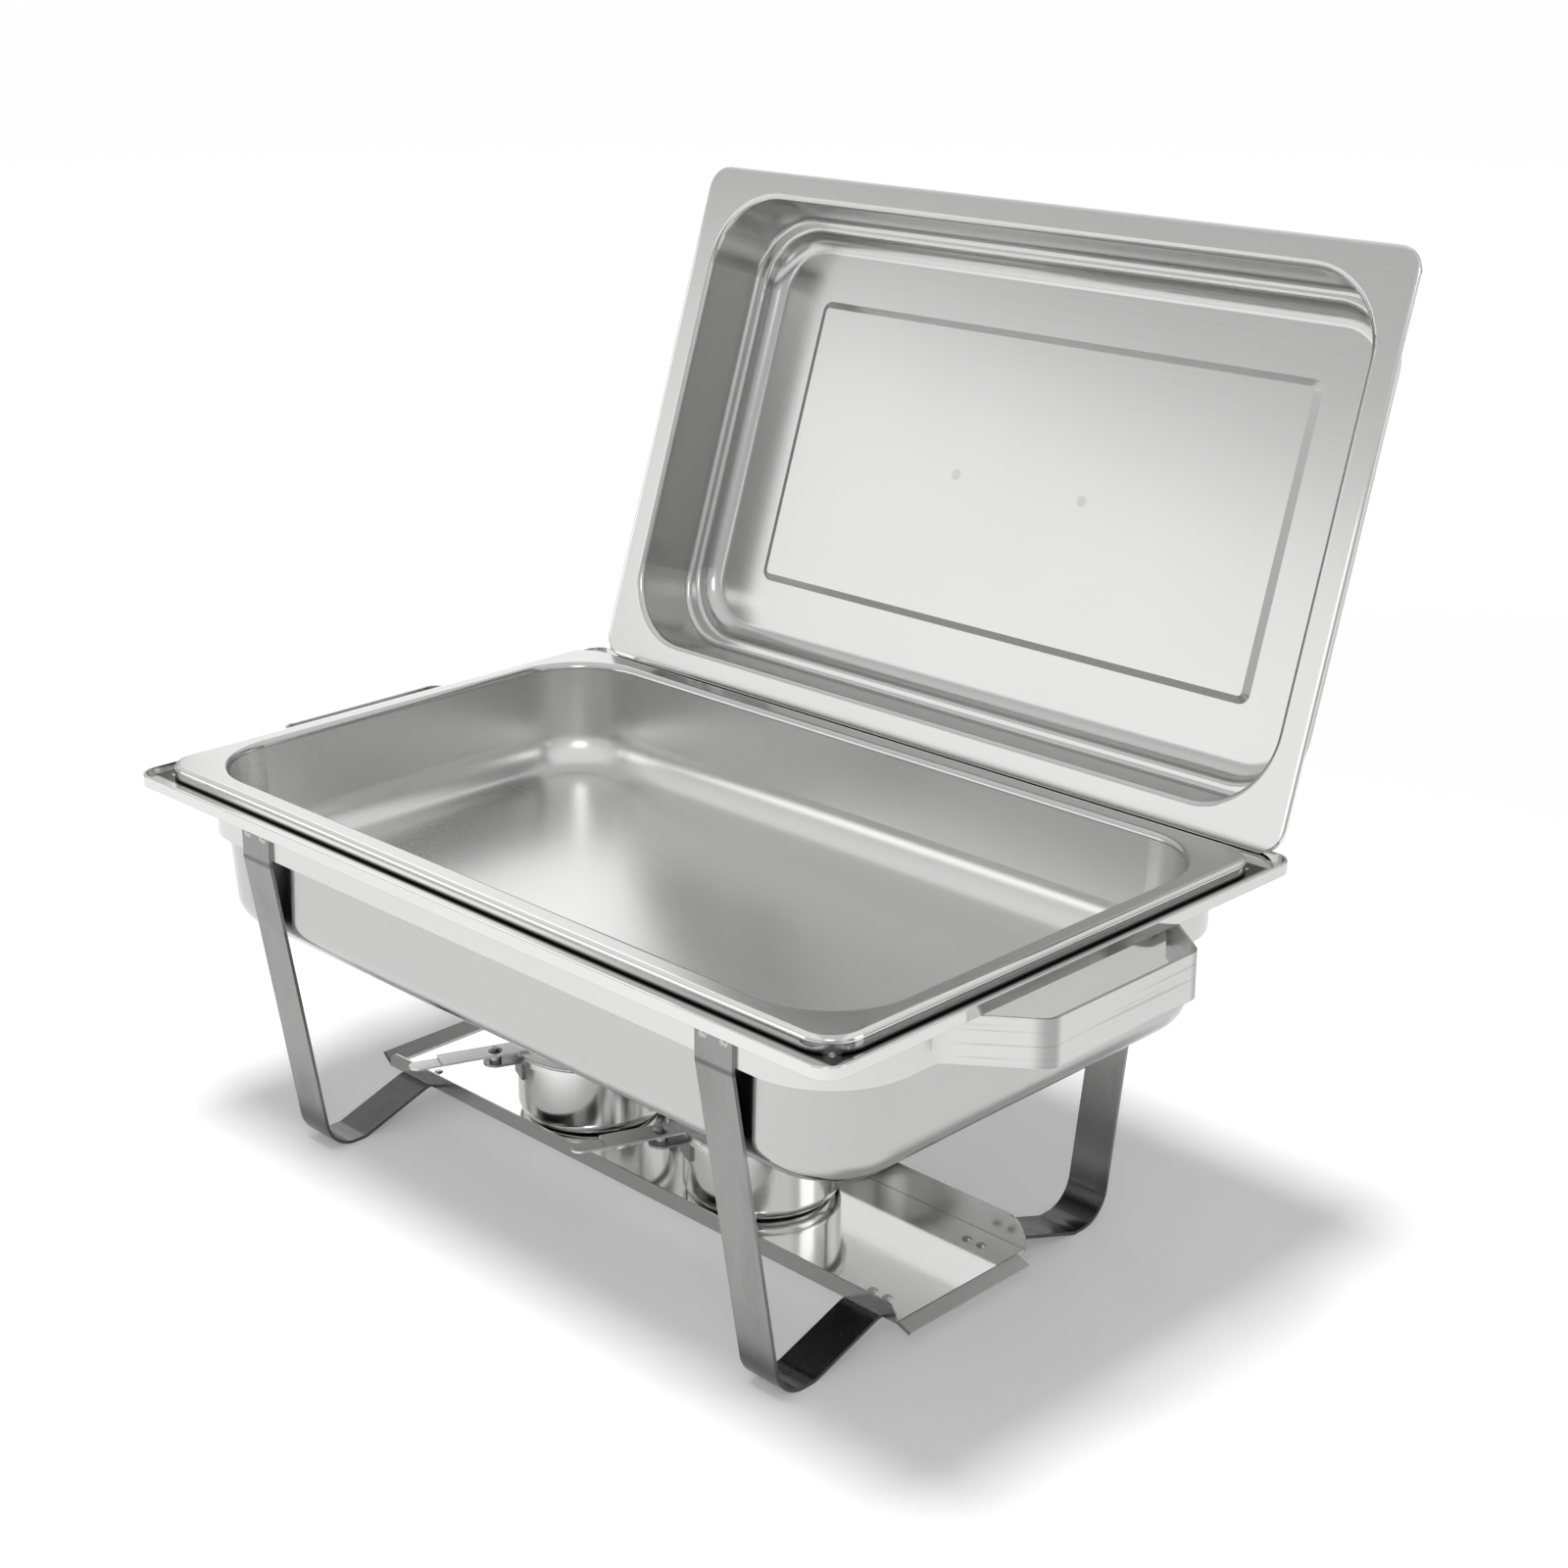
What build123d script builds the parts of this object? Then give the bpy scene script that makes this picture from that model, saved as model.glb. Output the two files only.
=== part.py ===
"""Full size chafing dish with its lid standing open behind the pan.

X runs along the dish, -Y is the serving side, +Z is up, and z = 0 is the table top.
It is laid out from the middle of its stand, and written with the origin on the table
under the middle of the whole dish, open lid included. Sizes are in millimetres.
"""
import os
from math import cos, radians, sin, tan

from build123d import *

# ---- Sheet and fits ----
pan_sheet = 0.8
strap_sheet = 2.0
tray_sheet = 1.0
seat_gap = 0.2
rivet_gap = 0.05
bore_length = 10.0
level_match = 0.01
pivot_gap = 0.08

# ---- Stand: a strap ring with a handle at each end, on two bent legs ----
ring_length = 516.0
ring_width = 316.0
ring_corner = 50.0
ring_top = 215.0
ring_height = 25.0
handle_reach = 42.0
handle_span = 112.0
handle_root = 176.0
handle_bend = 9.0
leg_spacing = 366.0
leg_width = 25.0
leg_top_drop = 4.0
leg_crease_drop = 3.0
leg_crease_bend = 8.0
foot_inset = 32.0
foot_bend = 20.0
foot_flat = 24.0
arch_half = 56.0
arch_rise = 16.0
arch_bend = 20.0
leg_rivet_spacing = 14.0
leg_rivet_drop = 13.0
rivet_radius = 1.6
rivet_head_radius = 2.8
rivet_head = 1.1

# ---- Fuel tray, riveted to the arches of the legs ----
tray_length = 414.0
tray_width = 102.0
tray_y = -5.0
tray_back_wall = 17.0
tray_front_wall = 8.5
tray_wall_corner = 14.0
tray_end_lip = 9.0
tray_lip_angle = 40.0
tray_rivet_spacing = 10.0
tray_rivet_rows = 74.0

# ---- Fuel cups and their swinging dampers ----
cup_radius = 44.0
cup_height = 42.6
cup_sheet = 0.8
cup_floor_bend = 8.0
cup_rim_radius = 47.0
cup_rim_drop = 4.0
cup_rim_inner_bend = 1.0
cup_rim_outer_bend = 0.7
cup_rim_root_bend = 0.6
bracket_root = 3.0
cup_places = {"left": (-80.0, -4.0), "right": (60.0, -4.0)}
pivot_angle = 247.0
pivot_reach = 59.0
bracket_width = 14.0
bracket_sheet = 1.4
bracket_drop = 12.0
pivot_radius = 2.0
pivot_head_radius = 4.0
pivot_head = 1.4
spacer_radius = 3.6
cover_sheet = 1.0
cover_lift = 0.3
arm_sheet = 1.2
arm_width = 14.0
arm_overlap = 34.0
arm_reach = 33.0
tab_width = 10.0
tab_start = 20.0
tab_reach = 51.0

# ---- Water pan, hanging by its rim in the ring ----
water_rim_length = 547.0
water_rim_width = 357.0
water_rim_corner = 12.0
water_lip = 1.6
water_lip_rise = 2.6
water_hem = 6.5
water_length = 508.0
water_width = 308.0
water_corner = 46.0
water_depth = 87.0
water_draft = 4.0
water_floor_bend = 20.0

# ---- Food pan, standing on the ledge of the water pan ----
food_rim_length = 530.0
food_rim_width = 325.0
food_rim_corner = 20.0
food_rim_height = 8.0
food_rim_bend = 3.0
food_length = 503.0
food_width = 295.0
food_corner = 47.0
food_depth = 65.0
food_draft = 5.0
food_floor_bend = 22.0
food_throat_bend = 4.0
food_y = -4.0

# ---- Lid, standing in the rear groove of the water pan ----
lid_rim_length = 530.0
lid_rim_width = 328.0
lid_rim_corner = 15.0
lid_rim_edge = 1.8
lid_rim_bend = 1.2
lid_length = 494.0
lid_width = 293.0
lid_corner = 46.0
lid_wall_height = 42.0
lid_draft = 5.0
lid_step_in = 8.0
lid_step_height = 13.0
lid_crown_corner = 40.0
lid_step_bend = 4.5
lid_ridge_bend = 3.0
lid_top_bend = 12.0
lid_throat_bend = 4.0
lid_panel_length = 382.0
lid_panel_width = 186.0
lid_panel_corner = 7.0
lid_panel_press = 2.0
lid_panel_slope = 66.0
lid_lean = 18.5
lid_groove_gap = 0.4
lid_handle_length = 118.0
lid_handle_foot = 20.0
lid_handle_width = 26.0
lid_handle_rise = 32.0
lid_handle_sheet = 2.0
lid_handle_bend = 8.0

# ---- Levels and places worked out from the sizes above ----
ring_bottom = ring_top - ring_height
lip_top = ring_top + seat_gap + water_hem
ledge_top = lip_top - water_lip_rise
food_rim_top = ledge_top + seat_gap + food_rim_height
arch_top = arch_rise + strap_sheet
tray_floor = arch_top + tray_sheet
cup_base = tray_floor + seat_gap
cup_top = cup_base + cup_height
cover_bottom = cup_top + cover_lift
arm_bottom = cover_bottom + cover_sheet
bracket_top = cup_top - cup_rim_drop
lid_lip_clearance = lid_groove_gap + water_lip_rise * tan(radians(lid_lean))
lid_groove_wall = water_rim_width / 2 - water_lip - lid_lip_clearance
lid_up = Vector(0, sin(radians(lid_lean)), cos(radians(lid_lean)))
lid_back = Vector(0, cos(radians(lid_lean)), -sin(radians(lid_lean)))
lid_base = Vector(0, lid_groove_wall, ledge_top + seat_gap) - lid_back * lid_rim_edge

os.makedirs("parts", exist_ok=True)
pieces = {}


def keep(piece, name):
    """Name one finished piece and keep it for writing."""
    piece.part.label = name
    pieces[name] = piece.part


def drawn_block(plane, length, width, corner, depth, draft, floor_bend):
    """A rounded block that narrows along the plane's normal, with a rounded far edge."""
    with BuildPart() as block:
        with BuildSketch(plane):
            RectangleRounded(length, width, corner)
        extrude(amount=depth, taper=draft)
        far_face = block.faces().sort_by(Axis(plane.origin, plane.z_dir))[-1]
        fillet(far_face.edges(), floor_bend)
    return block.part


def throat_edges(part, plane, length, width):
    """The edges of a part that lie in a plane, no further out than a rectangle."""
    flat = [edge for edge in part.edges() if abs(plane.to_local_coords(edge.center()).Z) < level_match]
    return [
        edge for edge in flat
        if abs(plane.to_local_coords(edge.center()).X) < length / 2 + level_match
        and abs(plane.to_local_coords(edge.center()).Y) < width / 2 + level_match
    ]


def beside(path, shift):
    """The path moved sideways by a shift, with each bend radius changed to stay concentric."""
    points = [Vector(along, up) for along, up, _ in path]
    headings = [(b - a).normalized() for a, b in zip(points, points[1:])]
    normals = [Vector(-heading.Y, heading.X) for heading in headings]
    moved = [(points[0] + normals[0] * shift, 0)]
    for before, after, point, (_, _, bend) in zip(normals, normals[1:], points[1:], path[1:]):
        corner = point + (before + after) * (shift / (1 + before.dot(after)))
        turn = before.X * after.Y - before.Y * after.X
        moved.append((corner, bend - shift if turn > 0 else bend + shift))
    return moved + [(points[-1] + normals[-1] * shift, 0)]


def bent_strip(plane, path, thickness, width):
    """A strip of even thickness bent along a path of (along, up, bend radius), centred on the plane."""
    sides = [beside(path, shift) for shift in (thickness / 2, -thickness / 2)]
    with BuildSketch(plane) as side_view:
        with BuildLine():
            for side in sides:
                FilletPolyline(*[point for point, _ in side], radius=[bend for _, bend in side[1:-1]])
            Line(sides[0][0][0], sides[1][0][0])
            Line(sides[0][-1][0], sides[1][-1][0])
        make_face()
    return extrude(side_view.sketch, amount=width / 2, both=True)


def down_plane(y, z):
    """A plane that faces down, for a shape drawn downwards from height z."""
    return Plane(origin=(0, y, z), x_dir=(1, 0, 0), z_dir=(0, 0, -1))


# ---- Strap ring ----
def ring_face(inset):
    """The area inside the ring's outline, with the handle bulge at each end."""
    half_length = ring_length / 2 - inset
    half_width = ring_width / 2 - inset
    front_right = [
        (half_length, -half_width, ring_corner - inset),
        (half_length, -handle_root / 2, handle_bend + inset),
        (half_length + handle_reach, -handle_span / 2, handle_bend - inset),
    ]
    right = front_right + [(x, -y, radius) for x, y, radius in reversed(front_right)]
    corners = right + [(-x, y, radius) for x, y, radius in reversed(right)]
    with BuildSketch(Plane.XY.offset(ring_bottom)) as sketch:
        with BuildLine():
            FilletPolyline(*[(x, y) for x, y, _ in corners], close=True, radius=[r for _, _, r in corners])
        make_face()
    return sketch.sketch


def leg_rivet_places():
    """Where the rivets cross the ring, as (x, side)."""
    return [
        (leg + across, side)
        for leg in (-leg_spacing / 2, leg_spacing / 2)
        for across in (-leg_rivet_spacing / 2, leg_rivet_spacing / 2)
        for side in (-1, 1)
    ]


rivet_z = ring_top - leg_rivet_drop
ring_outer = ring_face(0)
ring_inner = ring_face(strap_sheet)


def half_ring(side):
    """One half of the strap ring, with its handle and its rivet holes."""
    with BuildPart() as ring:
        add(extrude(ring_outer, amount=ring_height, mode=Mode.PRIVATE))
        add(extrude(ring_inner, amount=ring_height, mode=Mode.PRIVATE), mode=Mode.SUBTRACT)
        for x, face in leg_rivet_places():
            with Locations(Location((x, face * ring_width / 2, rivet_z), (90, 0, 0))):
                Cylinder(rivet_radius + rivet_gap, bore_length, mode=Mode.SUBTRACT)
        split(bisect_by=Plane.YZ, keep=side)
    return ring


right_rail = half_ring(Keep.TOP)
keep(right_rail, "right_rail")
left_rail = half_ring(Keep.BOTTOM)
keep(left_rail, "left_rail")

# ---- Legs ----
leg_y = ring_width / 2 + strap_sheet / 2
strap_middle = strap_sheet / 2
leg_top = ring_top - leg_top_drop
leg_crease = ring_bottom - leg_crease_drop
foot_y = leg_y - foot_inset


def leg(x):
    """One strap bent into two legs and the arch between them."""
    half = [
        (leg_y, leg_top, 0),
        (leg_y, leg_crease, leg_crease_bend),
        (foot_y, strap_middle, foot_bend),
        (foot_y - foot_flat, strap_middle, foot_bend / 2),
        (arch_half, arch_rise + strap_middle, arch_bend),
    ]
    path = half + [(-y, z, r) for y, z, r in reversed(half)]
    with BuildPart() as strap:
        add(bent_strip(Plane.YZ.offset(x), path, strap_sheet, leg_width))
        for rivet_x, side in leg_rivet_places():
            with Locations(Location((rivet_x, side * leg_y, rivet_z), (90, 0, 0))):
                Cylinder(rivet_radius + rivet_gap, bore_length, mode=Mode.SUBTRACT)
        for across, along in tray_rivet_places():
            with Locations((x + across, along, arch_top)):
                Cylinder(rivet_radius + rivet_gap, bore_length, mode=Mode.SUBTRACT)
    return strap


def tray_rivet_places():
    """Rivets that hold the tray on one arch, measured from the middle of the leg."""
    return [
        (across, tray_y + along)
        for across in (-tray_rivet_spacing / 2, tray_rivet_spacing / 2)
        for along in (-tray_rivet_rows / 2, tray_rivet_rows / 2)
    ]


right_leg = leg(leg_spacing / 2)
keep(right_leg, "right_leg")
left_leg = leg(-leg_spacing / 2)
keep(left_leg, "left_leg")


def rivet(location, grip):
    """A rivet whose shank runs down from the underside of its head through the grip."""
    with Locations(location):
        with Locations((0, 0, -grip / 2)):
            Cylinder(rivet_radius, grip)
        Cone(rivet_head_radius, rivet_radius, rivet_head, align=(Align.CENTER, Align.CENTER, Align.MIN))
        with Locations((0, 0, -grip)):
            Cylinder(rivet_head_radius, rivet_head / 2, align=(Align.CENTER, Align.CENTER, Align.MAX))


with BuildPart() as leg_rivets:
    for x, side in leg_rivet_places():
        outer_face = ring_width / 2 + strap_sheet
        rivet(Location((x, side * outer_face, rivet_z), (-side * 90, 0, 0)), 2 * strap_sheet)
keep(leg_rivets, "leg_rivets")

# ---- Fuel tray ----
tray_half = tray_length / 2


def tray_wall_block(inner_y, wall):
    """One upturned long wall of the tray, with its two top corners rounded off."""
    rise = tray_sheet + wall
    with BuildSketch(Plane(origin=(0, inner_y, arch_top), x_dir=(1, 0, 0), z_dir=(0, -1, 0))) as face:
        with Locations((0, rise / 2)):
            Rectangle(tray_length, rise)
        fillet(face.vertices().group_by(Axis.Y)[-1], tray_wall_corner * wall / tray_back_wall)
    return extrude(face.sketch, amount=tray_sheet)


def tray_lip(side, angle):
    """The lip along one end of the tray, bent by the angle from the floor.

    It starts at the low front wall and stops short of the rounded end of the back wall.
    """
    edge = side * tray_half
    run = tray_end_lip * cos(radians(angle))
    rise = tray_end_lip * sin(radians(angle))
    with BuildSketch(Plane.XZ.offset(tray_width / 2 - tray_y)) as section:
        with BuildLine():
            Polyline(
                (edge, arch_top),
                (edge + side * run, arch_top + rise),
                (edge + side * run, arch_top + rise + tray_sheet),
                (edge, arch_top + tray_sheet),
                close=True,
            )
        make_face()
    return extrude(section.sketch, amount=tray_wall_corner / 2 - tray_width)


with BuildPart() as fuel_tray:
    with BuildSketch(Plane.XY.offset(arch_top)):
        with Locations((0, tray_y)):
            Rectangle(tray_length, tray_width)
    extrude(amount=tray_sheet)
    add(tray_wall_block(tray_y - tray_width / 2 + tray_sheet, tray_front_wall))
    add(tray_wall_block(tray_y + tray_width / 2, tray_back_wall))
    add(tray_lip(1, -tray_lip_angle / 2))
    add(tray_lip(-1, tray_lip_angle))
    for leg_x in (-leg_spacing / 2, leg_spacing / 2):
        for across, along in tray_rivet_places():
            with Locations((leg_x + across, along, arch_top)):
                Cylinder(rivet_radius + rivet_gap, bore_length, mode=Mode.SUBTRACT)
keep(fuel_tray, "fuel_tray")

with BuildPart() as tray_rivets:
    for leg_x in (-leg_spacing / 2, leg_spacing / 2):
        for across, along in tray_rivet_places():
            rivet(Location((leg_x + across, along, tray_floor)), strap_sheet + tray_sheet)
keep(tray_rivets, "tray_rivets")


# ---- Fuel cups and dampers, laid out along the pivot direction of each cup ----
def cup_plane(place, z):
    """A level plane at the cup's centre whose x axis points at the damper's pivot."""
    heading = radians(pivot_angle)
    return Plane(origin=(place[0], place[1], z), x_dir=(cos(heading), sin(heading), 0), z_dir=(0, 0, 1))


def strip(plane, start, end, width, thickness, start_round=False, end_round=False):
    """A flat strip along the plane's x axis, with square or round ends."""
    with BuildSketch(plane) as flat:
        with Locations(((start + end) / 2, 0)):
            Rectangle(end - start, width)
        if start_round:
            with Locations((start, 0)):
                Circle(width / 2)
        if end_round:
            with Locations((end, 0)):
                Circle(width / 2)
    return extrude(flat.sketch, amount=thickness)


def fuel_cup(place):
    """A drawn cup with a level rim whose edge is turned down."""
    side_plane = Plane(origin=(place[0], place[1], 0), x_dir=(1, 0, 0), z_dir=(0, -1, 0))
    outer = cup_radius
    inner = cup_radius - cup_sheet
    with BuildPart() as cup:
        with BuildSketch(side_plane):
            with BuildLine():
                FilletPolyline(
                    (0, cup_base),
                    (outer, cup_base),
                    (outer, cup_top - cup_sheet),
                    (cup_rim_radius - cup_sheet, cup_top - cup_sheet),
                    radius=[cup_floor_bend, cup_rim_root_bend],
                )
                Polyline(
                    (cup_rim_radius - cup_sheet, cup_top - cup_sheet),
                    (cup_rim_radius - cup_sheet, cup_top - cup_rim_drop),
                    (cup_rim_radius, cup_top - cup_rim_drop),
                )
                FilletPolyline(
                    (cup_rim_radius, cup_top - cup_rim_drop),
                    (cup_rim_radius, cup_top),
                    (inner, cup_top),
                    (inner, cup_base + cup_sheet),
                    (0, cup_base + cup_sheet),
                    radius=[cup_rim_outer_bend, cup_rim_inner_bend, cup_floor_bend - cup_sheet],
                )
                Line((0, cup_base + cup_sheet), (0, cup_base))
            make_face()
        revolve(axis=Axis((place[0], place[1], 0), (0, 0, 1)))
    return cup


def cup_bracket(place):
    """An angle bracket on the cup's wall whose level ear carries the damper's pivot."""
    wall_gap = cup_radius + rivet_gap
    with BuildPart() as bracket:
        add(strip(cup_plane(place, bracket_top - bracket_sheet), cup_radius - bracket_root, pivot_reach,
                  bracket_width, bracket_sheet, end_round=True))
        add(strip(cup_plane(place, bracket_top - bracket_drop), cup_radius - bracket_root, cup_radius + bracket_sheet,
                  bracket_width, bracket_drop))
        with Locations((place[0], place[1], bracket_top)):
            Cylinder(wall_gap, 3 * bracket_drop, mode=Mode.SUBTRACT)
        with Locations(cup_plane(place, bracket_top).location):
            with Locations((pivot_reach, 0, 0)):
                Cylinder(pivot_radius + rivet_gap, bore_length, mode=Mode.SUBTRACT)
    return bracket


def pivot_spacer(place):
    """A plain tube that carries the damper's arm level with the rim."""
    spacer_height = arm_bottom - cover_lift - bracket_top
    with BuildPart() as spacer:
        with Locations(cup_plane(place, bracket_top).location):
            with Locations((pivot_reach, 0, 0)):
                Cylinder(spacer_radius, spacer_height, align=(Align.CENTER, Align.CENTER, Align.MIN))
                Cylinder(pivot_radius + rivet_gap, 2 * bore_length, mode=Mode.SUBTRACT)
    return spacer


def pivot_rivet(place):
    """The rivet on which the damper turns."""
    head_under = arm_bottom + arm_sheet + cover_lift
    grip = head_under - bracket_top + bracket_sheet
    with BuildPart() as pin:
        with Locations(cup_plane(place, head_under).location):
            with Locations((pivot_reach, 0, 0)):
                Cylinder(pivot_radius, grip, align=(Align.CENTER, Align.CENTER, Align.MAX))
                Cone(pivot_head_radius, pivot_radius, pivot_head, align=(Align.CENTER, Align.CENTER, Align.MIN))
            with Locations((pivot_reach, 0, -grip)):
                Cylinder(pivot_head_radius, pivot_head, align=(Align.CENTER, Align.CENTER, Align.MAX))
    return pin


def damper_cover(place):
    """A flat disc that lies over the cup's mouth."""
    with BuildPart() as cover:
        with Locations((place[0], place[1], cover_bottom)):
            Cylinder(cup_rim_radius, cover_sheet, align=(Align.CENTER, Align.CENTER, Align.MIN))
        fillet(cover.edges().group_by(Axis.Z)[-1], cover_sheet / 3)
    return cover


def damper_arm(place):
    """The strip that joins the cover to its pivot and runs on towards the handle tab."""
    with BuildPart() as arm:
        add(strip(cup_plane(place, arm_bottom), pivot_reach - arm_overlap, pivot_reach + arm_reach,
                  arm_width, arm_sheet, start_round=True))
        with Locations(cup_plane(place, arm_bottom).location):
            with Locations((pivot_reach, 0, 0)):
                Cylinder(pivot_radius + pivot_gap, bore_length, mode=Mode.SUBTRACT)
    return arm


def damper_tab(place):
    """The narrower thumb tab under the end of the arm."""
    with BuildPart() as tab:
        add(strip(cup_plane(place, arm_bottom - arm_sheet), pivot_reach + tab_start,
                  pivot_reach + tab_reach - tab_width / 2, tab_width, arm_sheet, end_round=True))
    return tab


for side_name, cup_place in cup_places.items():
    keep(fuel_cup(cup_place), f"{side_name}_fuel_cup")
    keep(cup_bracket(cup_place), f"{side_name}_cup_bracket")
    keep(pivot_spacer(cup_place), f"{side_name}_pivot_spacer")
    keep(pivot_rivet(cup_place), f"{side_name}_pivot_rivet")
    keep(damper_cover(cup_place), f"{side_name}_damper_cover")
    keep(damper_arm(cup_place), f"{side_name}_damper_arm")
    keep(damper_tab(cup_place), f"{side_name}_damper_tab")

# ---- Water pan ----
water_outer = drawn_block(
    down_plane(0, ledge_top - pan_sheet / 2), water_length, water_width, water_corner,
    water_depth, water_draft, water_floor_bend)
water_inner = drawn_block(
    down_plane(0, ledge_top), water_length - 2 * pan_sheet, water_width - 2 * pan_sheet,
    water_corner - pan_sheet, water_depth - pan_sheet / 2, water_draft, water_floor_bend - pan_sheet)

with BuildPart() as water_pan:
    with BuildSketch(Plane.XY.offset(lip_top - water_hem)):
        RectangleRounded(water_rim_length, water_rim_width, water_rim_corner)
    extrude(amount=water_hem)
    fillet(water_pan.faces().sort_by(Axis.Z)[-1].edges(), water_lip / 2)
    inner_rim = (water_rim_length - 2 * water_lip, water_rim_width - 2 * water_lip, water_rim_corner - water_lip)
    with BuildSketch(Plane.XY.offset(ledge_top)):
        RectangleRounded(*inner_rim)
    extrude(amount=2 * water_lip_rise, mode=Mode.SUBTRACT)
    with BuildSketch(Plane.XY.offset(ledge_top - pan_sheet)):
        RectangleRounded(*inner_rim)
    extrude(amount=-water_hem, mode=Mode.SUBTRACT)
    add(water_outer)
    add(water_inner, mode=Mode.SUBTRACT)
keep(water_pan, "water_pan")

# ---- Food pan ----
food_top_sheet = food_rim_top - pan_sheet
food_outer = drawn_block(
    down_plane(food_y, food_top_sheet), food_length + 2 * pan_sheet, food_width + 2 * pan_sheet,
    food_corner + pan_sheet, food_depth, food_draft, food_floor_bend + pan_sheet)
food_inner = drawn_block(
    down_plane(food_y, food_rim_top), food_length, food_width, food_corner,
    food_depth, food_draft, food_floor_bend)
food_rim_base = Plane(origin=(0, food_y, food_rim_top - food_rim_height))
food_rim_hollow = drawn_block(
    food_rim_base, food_rim_length - 2 * pan_sheet, food_rim_width - 2 * pan_sheet,
    food_rim_corner - pan_sheet, food_rim_height - pan_sheet, 0, food_rim_bend - pan_sheet)

with BuildPart() as food_pan:
    with BuildSketch(food_rim_base):
        RectangleRounded(food_rim_length, food_rim_width, food_rim_corner)
    extrude(amount=food_rim_height)
    fillet(food_pan.faces().sort_by(Axis.Z)[-1].edges(), food_rim_bend)
    add(food_rim_hollow, mode=Mode.SUBTRACT)
    add(food_outer)
    under_edges = throat_edges(
        food_pan, down_plane(food_y, food_top_sheet), food_length + 2 * pan_sheet, food_width + 2 * pan_sheet)
    fillet(under_edges, food_throat_bend - pan_sheet)
    add(food_inner, mode=Mode.SUBTRACT)
    fillet(throat_edges(food_pan, down_plane(food_y, food_rim_top), food_length, food_width), food_throat_bend)
keep(food_pan, "food_pan")

# ---- Lid ----
lid_plane = Plane(origin=lid_base + lid_up * (lid_rim_width / 2), x_dir=(1, 0, 0), z_dir=lid_back)
lid_outer = drawn_block(
    lid_plane, lid_length + 2 * pan_sheet, lid_width + 2 * pan_sheet, lid_corner + pan_sheet,
    lid_wall_height, lid_draft, lid_step_bend)
lid_inner = drawn_block(
    lid_plane, lid_length, lid_width, lid_corner, lid_wall_height - pan_sheet, lid_draft,
    lid_step_bend - pan_sheet)
wall_narrowing = 2 * (lid_wall_height * tan(radians(lid_draft)) + lid_step_in)
lid_crown_length = lid_length - wall_narrowing
lid_crown_width = lid_width - wall_narrowing
crown_outer = drawn_block(
    lid_plane.offset(lid_wall_height / 2), lid_crown_length + 2 * pan_sheet, lid_crown_width + 2 * pan_sheet,
    lid_crown_corner + pan_sheet, lid_wall_height / 2 + lid_step_height, 0, lid_top_bend)
crown_inner = drawn_block(
    lid_plane.offset(lid_wall_height / 2), lid_crown_length, lid_crown_width, lid_crown_corner,
    lid_wall_height / 2 + lid_step_height - pan_sheet, 0, lid_top_bend - pan_sheet)
lid_top = lid_wall_height + lid_step_height


def panel_block(level, shrink):
    """The tapered plug that presses the middle of the lid's top inwards, starting from a level."""
    with BuildPart() as plug:
        with BuildSketch(Plane(origin=lid_plane.offset(level).origin, x_dir=(1, 0, 0), z_dir=-lid_back)):
            RectangleRounded(lid_panel_length - shrink, lid_panel_width - shrink, lid_panel_corner - shrink / 2)
        extrude(amount=lid_panel_press, taper=lid_panel_slope)
    return plug.part


panel_inner = panel_block(lid_top - pan_sheet, 0)
panel_outer = panel_block(lid_top, 2 * pan_sheet * tan(radians(45 - lid_panel_slope / 2)))

with BuildPart() as lid_cover:
    with BuildSketch(lid_plane):
        RectangleRounded(lid_rim_length, lid_rim_width, lid_rim_corner)
    extrude(amount=lid_rim_edge)
    fillet(throat_edges(lid_cover, lid_plane, lid_rim_length, lid_rim_width), lid_rim_bend)
    with BuildSketch(lid_plane.offset(pan_sheet)):
        RectangleRounded(
            lid_rim_length - 2 * pan_sheet, lid_rim_width - 2 * pan_sheet, lid_rim_corner - pan_sheet)
    extrude(amount=lid_rim_edge, mode=Mode.SUBTRACT)
    add(lid_outer)
    under_edges = throat_edges(
        lid_cover, lid_plane.offset(pan_sheet), lid_length + 2 * pan_sheet, lid_width + 2 * pan_sheet)
    fillet(under_edges, lid_throat_bend - pan_sheet)
    add(crown_outer)
    ridge_plane = lid_plane.offset(lid_wall_height)
    ridge_edges = throat_edges(
        lid_cover, ridge_plane, lid_crown_length + 2 * pan_sheet, lid_crown_width + 2 * pan_sheet)
    fillet(ridge_edges, lid_ridge_bend - pan_sheet)
    add(lid_inner, mode=Mode.SUBTRACT)
    add(crown_inner, mode=Mode.SUBTRACT)
    ridge_plane = lid_plane.offset(lid_wall_height - pan_sheet)
    fillet(throat_edges(lid_cover, ridge_plane, lid_crown_length, lid_crown_width), lid_ridge_bend)
    add(panel_inner)
    add(panel_outer, mode=Mode.SUBTRACT)
    fillet(throat_edges(lid_cover, lid_plane, lid_length, lid_width), lid_throat_bend)
keep(lid_cover, "lid_cover")

handle_half = lid_handle_length / 2
handle_foot_level = lid_top - lid_panel_press + lid_handle_sheet / 2
handle_shoulder = handle_half - lid_handle_foot
handle_side = [
    (handle_half, handle_foot_level, 0),
    (handle_shoulder, handle_foot_level, lid_handle_bend),
    (handle_shoulder, lid_top + lid_handle_rise, lid_handle_bend),
]
lid_side_view = Plane(origin=lid_plane.origin, x_dir=(1, 0, 0), z_dir=lid_up)
with BuildPart() as lid_handle:
    handle_path = [(-x, z, bend) for x, z, bend in handle_side] + handle_side[::-1]
    add(bent_strip(lid_side_view, handle_path, lid_handle_sheet, lid_handle_width))
keep(lid_handle, "lid_handle")

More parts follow.
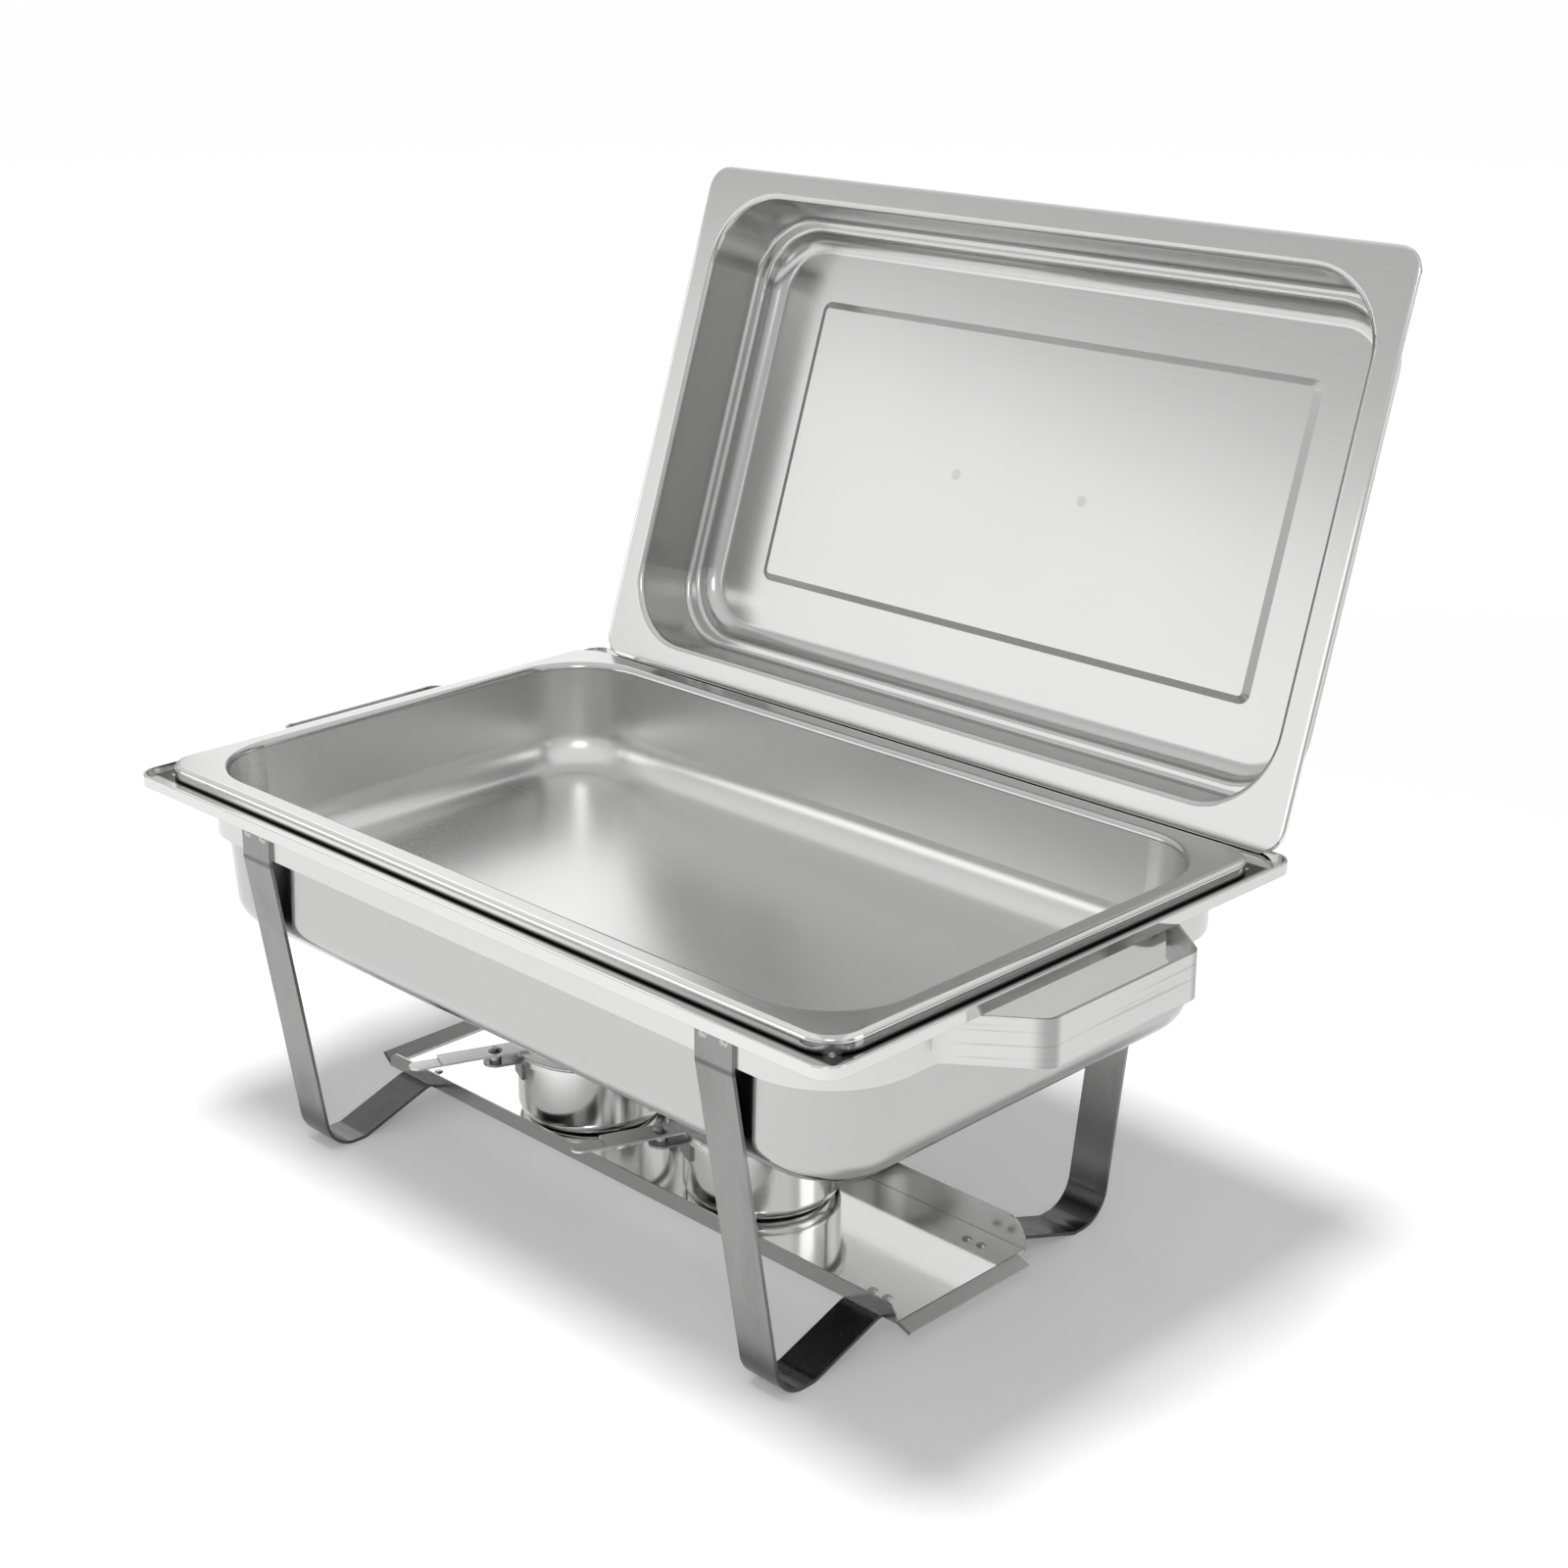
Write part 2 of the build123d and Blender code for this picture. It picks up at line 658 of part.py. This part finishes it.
# ---- The origin goes under the middle of the whole dish, and each piece is written ----
reach = Compound(list(pieces.values())).bounding_box(optimal=True)
to_middle = Location((0, -(reach.min.Y + reach.max.Y) / 2, 0))
for name, part in pieces.items():
    placed = part.moved(to_middle)
    placed.label = name
    export_step(placed, f"parts/{name}.step")
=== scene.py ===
"""Looks for the chafing dish: stainless steel finishes, studio light, floor and camera."""
from math import cos, radians, sin

import bpy
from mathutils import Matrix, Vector


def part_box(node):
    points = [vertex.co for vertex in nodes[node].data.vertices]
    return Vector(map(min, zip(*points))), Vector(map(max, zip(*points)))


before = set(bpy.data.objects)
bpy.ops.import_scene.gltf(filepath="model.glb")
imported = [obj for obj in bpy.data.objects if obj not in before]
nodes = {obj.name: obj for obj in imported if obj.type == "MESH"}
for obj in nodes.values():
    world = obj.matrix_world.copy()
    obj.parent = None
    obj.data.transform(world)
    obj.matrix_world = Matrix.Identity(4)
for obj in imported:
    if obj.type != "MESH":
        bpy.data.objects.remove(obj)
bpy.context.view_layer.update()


# ---- Shader maths ----
class Wire:
    """One output of a node tree, with arithmetic that adds the nodes for it."""

    def __init__(self, tree, socket):
        self.tree = tree
        self.socket = socket

    def math(self, operation, *values):
        sockets = dict(enumerate([self, *values]))
        return node(self.tree, "ShaderNodeMath", {"operation": operation}, sockets)

    def __add__(self, other):
        return self.math("ADD", other)

    __radd__ = __add__

    def __sub__(self, other):
        return self.math("SUBTRACT", other)

    def __rsub__(self, other):
        return node(self.tree, "ShaderNodeMath", {"operation": "SUBTRACT"}, {0: other, 1: self})

    def __mul__(self, other):
        return self.math("MULTIPLY", other)

    __rmul__ = __mul__

    def __truediv__(self, other):
        return self.math("DIVIDE", other)

    def __pow__(self, other):
        return self.math("POWER", other)

    def most(self, other):
        return self.math("MAXIMUM", other)

    def size(self):
        return self.math("ABSOLUTE")

    def ramp(self, low, high):
        """0 below low, 1 above high, and a smooth step between them."""
        settings = {"interpolation_type": "SMOOTHSTEP"}
        sockets = {"Value": self, "From Min": low, "From Max": high}
        return node(self.tree, "ShaderNodeMapRange", settings, sockets)


def node(tree, kind, settings=None, sockets=None, output=0):
    """Add a node, set it up, fill its sockets with numbers or wires, and return one output."""
    made = tree.nodes.new(kind)
    for key, value in (settings or {}).items():
        setattr(made, key, value)
    for key, value in (sockets or {}).items():
        if isinstance(value, Wire):
            tree.links.new(value.socket, made.inputs[key])
        else:
            made.inputs[key].default_value = value
    return Wire(tree, made.outputs[output])


def place(tree):
    """Position on the piece, in metres, and its three parts."""
    here = node(tree, "ShaderNodeTexCoord", output="Object")
    parts = [node(tree, "ShaderNodeSeparateXYZ", None, {"Vector": here}, part) for part in "XYZ"]
    return here, *parts


def stretched(tree, here, scale, detail=2.0, roughness=0.5, turn=(0.0, 0.0, 0.0)):
    """Noise drawn out by three scales, from 0 to 1, after an optional turn in radians."""
    lay = node(tree, "ShaderNodeMapping", None, {"Vector": here, "Rotation": turn, "Scale": scale})
    sockets = {"Vector": lay, "Scale": 1.0, "Detail": detail, "Roughness": roughness}
    return node(tree, "ShaderNodeTexNoise", None, sockets, "Fac")


def colour_of(tree, value, blue):
    """A colour whose red and green are the value."""
    return node(tree, "ShaderNodeCombineColor", None, {"Red": value, "Green": value, "Blue": blue})


# How strongly the steel's own unevenness changes its tone and roughness.
cloud_grain = (9.0, 9.0, 9.0)
cloud_roughness = 0.06
line_tone = 0.03
line_roughness = 0.04
scratch_share = 0.35
scratch_turn = (0.2, 0.15, 0.3)
scratch_tone = 0.015
scratch_roughness = 0.05
blue_share = 0.995
least_roughness = 0.04


def steel(name, tone, roughness, grain, grain_depth=0.000006, cloud=0.03, extra=None):
    """Stainless steel with drawn grain, faint clouding and fine handling scratches.

    grain holds how many grain lines per metre run across X, Y and Z. extra may change the tone,
    roughness and height, and is given the tree, the coordinates and those three.
    """
    material = bpy.data.materials.new(name)
    material.use_nodes = True
    tree = material.node_tree
    shader = tree.nodes["Principled BSDF"]
    here, x, y, z = place(tree)
    lines = stretched(tree, here, grain, detail=3.0, roughness=0.6)
    clouds = stretched(tree, here, cloud_grain, detail=3.0)
    scratch_grain = tuple(number * scratch_share for number in grain)
    scratches = stretched(tree, here, scratch_grain, detail=5.0, roughness=0.75, turn=scratch_turn)
    scratched = scratches.ramp(0.66, 0.78)
    value = tone * (1 - cloud / 2 + clouds * cloud)
    value = value - scratched * scratch_tone + (lines - 0.5) * line_tone
    rough = roughness + (clouds - 0.5) * cloud_roughness + (lines - 0.5) * line_roughness
    rough = rough + scratched * scratch_roughness
    height = lines * grain_depth
    if extra:
        value, rough, height = extra(tree, (here, x, y, z), value, rough, height)
    colour = colour_of(tree, value, value * blue_share)
    bump = node(tree, "ShaderNodeBump", None, {"Height": height, "Distance": 1.0, "Strength": 1.0})
    shader.inputs["Metallic"].default_value = 1.0
    tree.links.new(colour.socket, shader.inputs["Base Color"])
    tree.links.new(rough.most(least_roughness).socket, shader.inputs["Roughness"])
    tree.links.new(bump.socket, shader.inputs["Normal"])
    return material


def finish_node(name, material):
    """Give one CAD piece its finish."""
    piece = nodes[name]
    piece.data.materials.clear()
    piece.data.materials.append(material)


# ---- Places on the dish, in metres, read from the frame where it has them ----
food_low, food_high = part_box("food_pan")
water_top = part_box("water_pan")[1].z
lid_low, lid_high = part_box("lid_cover")
rail_low, rail_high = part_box("right_rail")
tray_low, tray_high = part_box("fuel_tray")
handle_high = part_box("lid_handle")[1]
food_middle = (food_low + food_high) / 2
tray_middle = (tray_low + tray_high) / 2
rail_middle = (rail_low + rail_high) / 2

rim_height = 0.008
rim_seat = food_high.z - 0.0075
rolled_edge = 0.0035
# Height of the painted shade band at the foot of the food pan's rolled edge.
painted_shade_band = 0.0030
hem_line = water_top - 0.0065
beside_gap = 0.0024
seat_reach = 0.0067

lid_lean = radians(18.5)
lid_up = Vector((0, sin(lid_lean), cos(lid_lean)))
lid_length = 0.328
lid_foot = Vector((0, lid_low.y, lid_low.z + 0.0006))
bead_width = 0.0022
weld_reach = handle_high.x - 0.010
weld_core = 0.000002
weld_edge = 0.00002

tray_wall_inside = tray_high.y - tray_middle.y - 0.0014
tray_lip_start = 0.2072
crease_z = rail_low.z - 0.003
foot_low = 0.016
foot_high = 0.034
handle_half_span = 0.056
ring_end = 0.258


# ---- Finishes ----
def food_pan_rim(tree, coordinates, value, rough, height):
    """Polish the rolled edge of the food pan, and paint shade along the bottom of it, above the water
    pan's ledge.
    """
    _, x, y, z = coordinates
    past_x = x.size() - (food_high.x - rolled_edge)
    past_y = (y - food_middle.y).size() - (food_high.y - food_middle.y - rolled_edge)
    edge = past_x.most(past_y).ramp(-0.0008, 0.0008)
    flange = z.ramp(food_high.z - 0.0042, food_high.z - 0.0034)
    underside = food_high.z - rim_height
    # Painted shade: the bottom of the rolled edge is made almost black, for the gap above the water pan's
    # ledge.
    crevice = edge * (1 - z.ramp(underside, underside + painted_shade_band))
    edge_rough, edge_tone = 0.06, 0.72
    flange_polish, flange_shade = 0.35, 0.22
    rough = rough * (1 - flange * flange_polish) * (1 - edge) + edge * edge_rough
    value = value * (1 - flange * flange_shade) * (1 - edge) + edge * edge_tone
    return value * (1 - crevice * 0.98), rough + crevice * 0.4, height * (1 - edge)


def water_pan_rim(tree, coordinates, value, rough, height):
    """Polish the water pan's ledge and rolled edge, and paint shade in a band under the hem and on the
    seat under the food pan's rim.
    """
    _, x, y, z = coordinates
    rim = z.ramp(hem_line - 0.0003, hem_line + 0.0003)
    # Painted shade in a band just under the hem.
    under = z.ramp(hem_line - 0.006, hem_line - 0.002) * (1 - rim)
    rim_rough, rim_tone = 0.07, 0.66
    under_shade, crevice_shade = 0.5, 0.95
    rough = rough * (1 - rim) + rim * rim_rough
    value = value * (1 - rim) + rim * rim_tone
    beside_x = x.size() - (food_high.x + beside_gap)
    beside_y = (y - food_middle.y).size() - (food_high.y - food_middle.y + beside_gap)
    beside = beside_x.most(beside_y)
    near_rim = beside.ramp(-seat_reach - 0.0005, -seat_reach + 0.0005)
    # Painted shade on the ledge seat under the food pan's rim, near its edge.
    crevice = rim * (1 - beside.ramp(-0.0012, 0.0012)) * near_rim
    crevice = crevice * (1 - z.ramp(rim_seat, rim_seat + 0.0008))
    value = value * (1 - under * under_shade) * (1 - crevice * crevice_shade)
    return value, rough, height * (1 - rim)


def lid_edge(tree, coordinates, value, rough, height):
    """Polish the bead round the lid's flange and mark where the outside handle is welded on."""
    _, x, y, z = coordinates
    along = (y - lid_foot.y) * lid_up.y + (z - lid_foot.z) * lid_up.z
    off_middle = along - lid_length / 2
    past_x = x.size() - (lid_high.x - bead_width)
    past_along = off_middle.size() - (lid_length / 2 - bead_width)
    bead = past_x.most(past_along).ramp(-0.0006, 0.0006)
    weld_distance = (x.size() - weld_reach) ** 2 + off_middle ** 2
    mark = 1 - weld_distance.ramp(weld_core, weld_edge)
    bead_rough, bead_tone = 0.08, 0.14
    mark_rough, mark_shade, mark_depth = 0.06, 0.07, 0.00005
    rough = rough * (1 - bead) + bead * bead_rough + mark * mark_rough
    value = value * (1 - mark * mark_shade) + bead * bead_tone
    return value, rough, height - mark * mark_depth


def tray_walls(tree, coordinates, value, rough, height):
    """Paint shade on the two upturned walls of the tray, and darken and roughen its end lips."""
    _, x, y, z = coordinates
    # Painted shade: the upturned walls are darkened.
    wall = ((y - tray_middle.y).size() - tray_wall_inside).ramp(-0.0003, 0.0003)
    lip = x.size().ramp(tray_lip_start, tray_lip_start + 0.0005)
    wall_shade, wall_rough = 0.5, 0.1
    lip_shade, lip_rough = 0.3, 0.4
    value = value * (1 - wall * wall_shade) * (1 - lip * lip_shade)
    return value, rough + wall * wall_rough + lip * lip_rough, height


def leg_shade(tree, coordinates, value, rough, height):
    """Paint shade on a leg's foot and arch and along its crease, and add random stain patches."""
    here, x, y, z = coordinates
    # Painted shade, darker towards the foot.
    foot = 1 - z.ramp(foot_low, foot_high)
    # Painted shade along the crease just under the rail.
    crease = 1 - (z - crease_z).size().ramp(0.0006, 0.0022)
    stain = stretched(tree, here, (60.0, 60.0, 12.0), detail=3.0).ramp(0.45, 0.8)
    foot_shade, crease_shade, stain_shade, stain_rough = 0.55, 0.45, 0.15, 0.08
    value = value * (1 - foot * foot_shade) * (1 - crease * crease_shade)
    return value * (1 - stain * stain_shade), rough + stain * stain_rough, height


def handle_bends(tree, coordinates, value, rough, height):
    """Paint shade on the strap where it is bent for the end handle, and darken faint lines drawn along it.
    """
    here, x, y, z = coordinates
    # Painted shade at the bends of the end handle.
    bend = 1 - ((y - rail_middle.y).size() - handle_half_span).size().ramp(0.0015, 0.007)
    outward = x.size().ramp(ring_end, ring_end + 0.02)
    drawn = stretched(tree, here, (7.0, 7.0, 420.0), detail=2.0).ramp(0.52, 0.74)
    bend_shade, drawn_shade, drawn_rough = 0.42, 0.22, 0.05
    value = value * (1 - bend * outward * bend_shade) * (1 - drawn * outward * drawn_shade)
    return value, rough + drawn * drawn_rough, height


pan_grain = (14.0, 900.0, 900.0)
food_steel = steel("food_pan_satin", 0.66, 0.26, pan_grain, extra=food_pan_rim)
water_steel = steel(
    "water_pan_polish", 0.46, 0.15, (10.0, 10.0, 500.0), grain_depth=0.000004, extra=water_pan_rim
)
lid_steel = steel("lid_satin", 0.53, 0.22, pan_grain, grain_depth=0.000002, extra=lid_edge)
strap_steel = steel(
    "strap_brushed", 0.26, 0.25, (400.0, 30.0, 30.0), grain_depth=0.000003, extra=leg_shade
)
rail_steel = steel("rail_brushed", 0.60, 0.22, (10.0, 10.0, 700.0), extra=handle_bends)
handle_steel = steel("lid_handle_brushed", 0.74, 0.20, (12.0, 900.0, 900.0))
tray_steel = steel(
    "tray_polish", 0.88, 0.08, (12.0, 500.0, 500.0), grain_depth=0.000003, extra=tray_walls
)
cup_steel = steel("cup_polish", 0.74, 0.16, (20.0, 20.0, 900.0), grain_depth=0.000008)
cover_steel = steel("cover_brushed", 0.62, 0.20, (900.0, 14.0, 14.0))
rivet_steel = steel("rivet_bright", 0.42, 0.22, (200.0, 200.0, 200.0), grain_depth=0.000004)

for piece_name, finish in {
    "food_pan": food_steel,
    "water_pan": water_steel,
    "lid_cover": lid_steel,
    "lid_handle": handle_steel,
    "right_rail": rail_steel,
    "left_rail": rail_steel,
    "right_leg": strap_steel,
    "left_leg": strap_steel,
    "fuel_tray": tray_steel,
    "leg_rivets": rivet_steel,
    "tray_rivets": rivet_steel,
}.items():
    finish_node(piece_name, finish)
for side in ("left", "right"):
    finish_node(f"{side}_fuel_cup", cup_steel)
    finish_node(f"{side}_cup_bracket", strap_steel)
    finish_node(f"{side}_damper_cover", cover_steel)
    finish_node(f"{side}_damper_arm", rail_steel)
    finish_node(f"{side}_damper_tab", rail_steel)
    finish_node(f"{side}_pivot_rivet", rivet_steel)
    finish_node(f"{side}_pivot_spacer", rivet_steel)

# ---- Floor ----
floor_half = 12.0
floor_tone = 0.86
glow_near = 0.20
glow_rise = 0.5
glow_start = 0.5
glow_full = 2.6
floor_mesh = bpy.data.meshes.new("floor")
floor_corners = [
    (-floor_half, -floor_half, 0),
    (floor_half, -floor_half, 0),
    (floor_half, floor_half, 0),
    (-floor_half, floor_half, 0),
]
floor_mesh.from_pydata(floor_corners, [], [(0, 1, 2, 3)])
floor = bpy.data.objects.new("floor", floor_mesh)
bpy.context.scene.collection.objects.link(floor)
floor_paint = bpy.data.materials.new("floor_paint")
floor_paint.use_nodes = True
floor_tree = floor_paint.node_tree
floor_shader = floor_tree.nodes["Principled BSDF"]
floor_shader.inputs["Base Color"].default_value = (floor_tone, floor_tone, floor_tone, 1.0)
floor_shader.inputs["Emission Strength"].default_value = 1.0
_, floor_x, floor_y, _ = place(floor_tree)
away = (floor_x * floor_x + floor_y * floor_y) ** 0.5
glow = glow_near + away.ramp(glow_start, glow_full) * glow_rise
floor_tree.links.new(colour_of(floor_tree, glow, glow).socket, floor_shader.inputs["Emission Color"])
floor_shader.inputs["Roughness"].default_value = 0.9
floor_shader.inputs["Specular IOR Level"].default_value = 0.1
floor_mesh.materials.append(floor_paint)

# ---- Studio: a pale room with three dark cards low down, for the steel to reflect ----
# Each card has its heading as two parts of a unit length, where its edge starts, and its depth.
dark_cards = ((-0.30, 0.95, 0.93, 0.55), (0.98, 0.2, 0.95, 0.5), (-0.95, -0.25, 0.96, 0.5))
card_softness = 0.06
horizon_tone = 0.04
wall_rise = 0.82
ceiling_rise = 0.3
room_strength = 0.85
matt_cut = 0.6

world = bpy.data.worlds.new("studio")
bpy.context.scene.world = world
world.use_nodes = True
sky = world.node_tree
direction = node(sky, "ShaderNodeTexCoord", output="Generated")
east, north, up = [node(sky, "ShaderNodeSeparateXYZ", None, {"Vector": direction}, part) for part in "XYZ"]
brightness = horizon_tone + up.ramp(0.02, 0.17) * wall_rise + up.ramp(0.3, 0.9) * ceiling_rise
flat_length = (east * east + north * north + 0.0001) ** 0.5
for card_x, card_y, card_edge, depth in dark_cards:
    towards = (east * card_x + north * card_y) / flat_length
    card = towards.ramp(card_edge, card_edge + card_softness) * (1 - up.ramp(0.3, 0.7))
    brightness = brightness * (1 - card * depth)
background = sky.nodes["Background"]
sky.links.new(colour_of(sky, brightness, brightness).socket, background.inputs["Color"])
diffuse_ray = node(sky, "ShaderNodeLightPath", output="Is Diffuse Ray")
sky.links.new((room_strength - diffuse_ray * matt_cut).socket, background.inputs["Strength"])

# Every piece but the lid blocks the key light, so the standing lid casts no hard shadow.
shade_givers = bpy.data.collections.new("shade_givers")
for piece_name, piece in nodes.items():
    if not piece_name.startswith("lid"):
        shade_givers.objects.link(piece)


def soft_box(name, position, target, size, watts, unseen=False):
    """A rectangular soft light aimed at a point, and unseen in the steel if asked."""
    light = bpy.data.lights.new(name, "AREA")
    light.shape = "RECTANGLE"
    light.size, light.size_y = size
    light.energy = watts
    lamp = bpy.data.objects.new(name, light)
    bpy.context.scene.collection.objects.link(lamp)
    lamp.location = position
    lamp.visible_glossy = not unseen
    if unseen:
        lamp.light_linking.blocker_collection = shade_givers
    lamp.rotation_euler = (Vector(target) - Vector(position)).to_track_quat("-Z", "Y").to_euler()


soft_box("key_box", (-0.12, -0.52, 2.2), (0, 0, 0.1), (0.6, 0.6), 42.0, unseen=True)
soft_box("left_box", (-1.7, -2.3, 0.8), (0, 0.1, 0.35), (1.9, 1.2), 6.6)
soft_box("viewer_box", (1.3, -1.5, 1.7), (0, 0, 0.2), (0.7, 0.7), 4.5)
soft_box("back_left_box", (-1.9, 1.2, 1.0), (0, 0, 0.2), (0.7, 1.6), 2.4)
soft_box("right_box", (2.4, 0.9, 0.9), (0, 0, 0.15), (1.0, 1.2), 4.0)

# ---- Camera ----
camera_data = bpy.data.cameras.new("camera")
camera_data.lens = 60.4
camera_data.sensor_width = 36.0
camera_data.shift_x = 0.02
camera_data.shift_y = -0.103
camera_data.clip_end = 60.0
camera = bpy.data.objects.new("camera", camera_data)
bpy.context.scene.collection.objects.link(camera)
camera.location = (0.9833, -1.0029, 0.7279)
camera.rotation_euler = Vector((-0.679, 0.678, -0.2813)).to_track_quat("-Z", "Y").to_euler()
bpy.context.scene.camera = camera
bpy.context.scene.view_settings.view_transform = "Standard"
